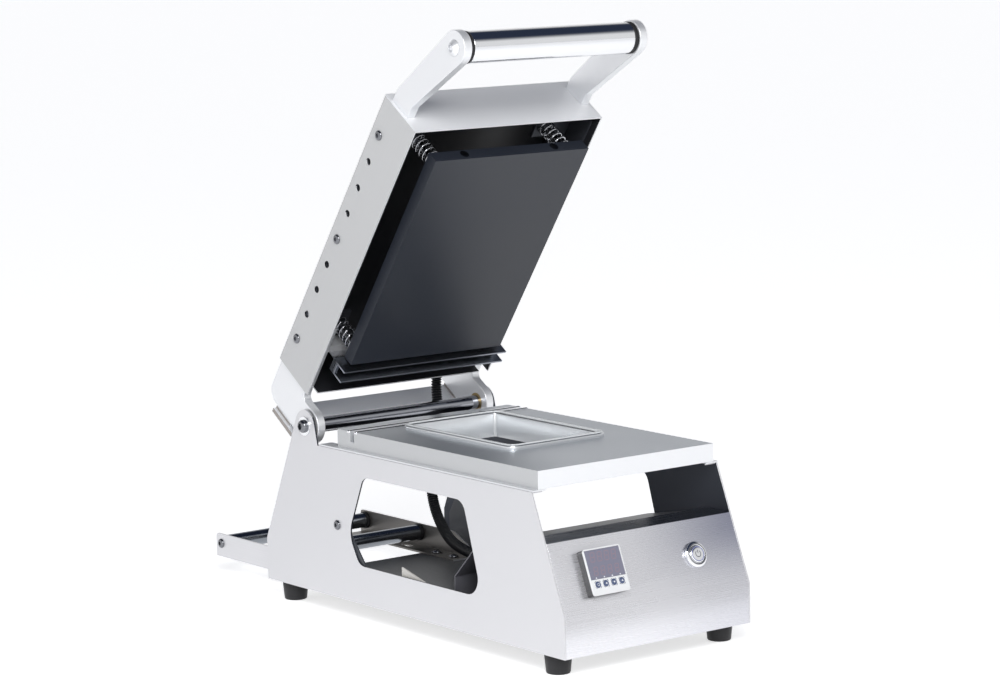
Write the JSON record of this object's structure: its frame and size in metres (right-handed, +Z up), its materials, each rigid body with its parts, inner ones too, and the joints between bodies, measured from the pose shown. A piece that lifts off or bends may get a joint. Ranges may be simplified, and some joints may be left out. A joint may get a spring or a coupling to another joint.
{
  "type": "manual tray sealing machine",
  "caption": "Table-top manual tray sealer: open-sided sheet-metal base, mould plate with a tray opening, film cradle behind, and a hinged heated lid with a bar handle.",
  "frame": {"origin": "centre of the machine's length and width, on the floor under the rubber feet", "axes": "+X to the operator's right, along the hinge axis; +Y to the rear, towards the film cradle; +Z up"},
  "size_m": [0.2648, 0.6683, 0.6436],
  "materials": {
    "side": "fine brushed stainless sheet",
    "panel": "brushed stainless sheet, grain across",
    "pan": "dark powder coat",
    "cover": "dark powder coat",
    "mould": "bead-blasted, anodised",
    "seat": "satin",
    "silicone": "matt translucent white silicone",
    "rubber": "matt black",
    "chrome": "polished",
    "shaft": "polished dark steel",
    "bracket": "satin, warm grey",
    "roller": "smooth anodised",
    "alu": "satin",
    "bronze": "sintered bronze",
    "stopbar": "satin",
    "blade": "ground knife steel",
    "ptfe": "black non-stick coating",
    "bars": "satin, dark",
    "spring": "bright spring wire",
    "black": "fine grained",
    "bezel": "fine grained, white",
    "display": "smoked display",
    "keys": "satin dark blue",
    "block": "cream moulded plastic",
    "element": "oxidised heater sheath",
    "sockets": "black oxide screw",
    "screw": "plain stainless screw"
  },
  "bodies": {
    "base": {"side_plate_left": "side", "side_plate_right": "side", "front_panel": "panel", "base_pan": "pan", "control_box_cover": "cover", "mould_rails": "alu", "rubber_feet": "rubber", "foot_screws": "screw", "frame_screws": "screw", "mould_plate": "mould", "tray_seat_frame": "seat", "seat_gasket": "silicone", "film_clamp_strips": "chrome", "hinge_shaft": "shaft", "hinge_bolts": "screw", "hinge_washers": "chrome", "film_bracket_left": "bracket", "film_bracket_right": "bracket", "roller_axles": "chrome", "roller_bushes": "rubber", "controller_body": "black", "controller_bezel": "bezel", "controller_window": "display", "power_switch_housing": "chrome", "power_switch_nut": "chrome", "power_switch_body": "black", "conduit_gland_base": "black", "mains_gland": "black", "solid_state_relay": "black", "terminal_block": "block", "heater_conduit": "rubber"},
    "lid": {"lid_shell": "side", "lid_arm_left": "alu", "lid_arm_right": "alu", "arm_bushings": "bronze", "lid_side_rails": "alu", "lid_side_screws": "screw", "rear_stop_bar": "stopbar", "lid_frame_screws": "screw", "spring_brackets": "alu", "cutter_holder": "alu", "cutter_blade": "blade", "handle_arm_left": "alu", "handle_arm_right": "alu", "handle_tube": "chrome", "handle_rings": "rubber", "handle_screws": "sockets", "conduit_gland_lid": "black"},
    "sealing_head": {"heater_plate": "ptfe", "film_press_bars": "bars", "guide_posts": "chrome", "heating_elements": "element", "press_springs": "spring"},
    "power_button": {"power_button": "chrome"},
    "key_1": {"controller_key_1": "keys"},
    "key_2": {"controller_key_2": "keys"},
    "key_3": {"controller_key_3": "keys"},
    "key_4": {"controller_key_4": "keys"},
    "film_roller_front": {"film_roller_front": "roller"},
    "film_roller_rear": {"film_roller_rear": "roller"}
  },
  "joints": [
    {"name": "lid_hinge", "type": "hinge", "parent": "base", "child": "lid", "pos_m": [0, 0.1153, 0.2031], "axis": [1, 0, 0], "range_deg": [0, 55.1], "deforming": ["heater_conduit"]},
    {"name": "head_float", "type": "slide", "parent": "lid", "child": "sealing_head", "axis": [0, 0.8202, 0.5721], "range_m": [0, 0.0154], "deforming": ["press_springs"]},
    {"name": "power_button_press", "type": "slide", "parent": "base", "child": "power_button", "axis": [0, 0.9248, -0.3806], "range_m": [0, 0.003], "stiffness_N_per_m": 300, "springref_m": -0.002},
    {"name": "key_1_press", "type": "slide", "parent": "base", "child": "key_1", "axis": [0, 0.9248, -0.3806], "range_m": [0, 0.0005], "stiffness_N_per_m": 400, "springref_m": -0.0005},
    {"name": "key_2_press", "type": "slide", "parent": "base", "child": "key_2", "axis": [0, 0.9248, -0.3806], "range_m": [0, 0.0005], "stiffness_N_per_m": 400, "springref_m": -0.0005},
    {"name": "key_3_press", "type": "slide", "parent": "base", "child": "key_3", "axis": [0, 0.9248, -0.3806], "range_m": [0, 0.0005], "stiffness_N_per_m": 400, "springref_m": -0.0005},
    {"name": "key_4_press", "type": "slide", "parent": "base", "child": "key_4", "axis": [0, 0.9248, -0.3806], "range_m": [0, 0.0005], "stiffness_N_per_m": 400, "springref_m": -0.0005},
    {"name": "front_roller_turn", "type": "hinge", "parent": "base", "child": "film_roller_front", "pos_m": [0, 0.2144, 0.0396], "axis": [1, 0, 0], "continuous": true},
    {"name": "rear_roller_turn", "type": "hinge", "parent": "base", "child": "film_roller_rear", "pos_m": [0, 0.3218, 0.0381], "axis": [1, 0, 0], "continuous": true}
  ],
  "couplings": [
    {"joint": "head_float", "follows": "lid_hinge", "m_per_rad": 0.016014}
  ]
}
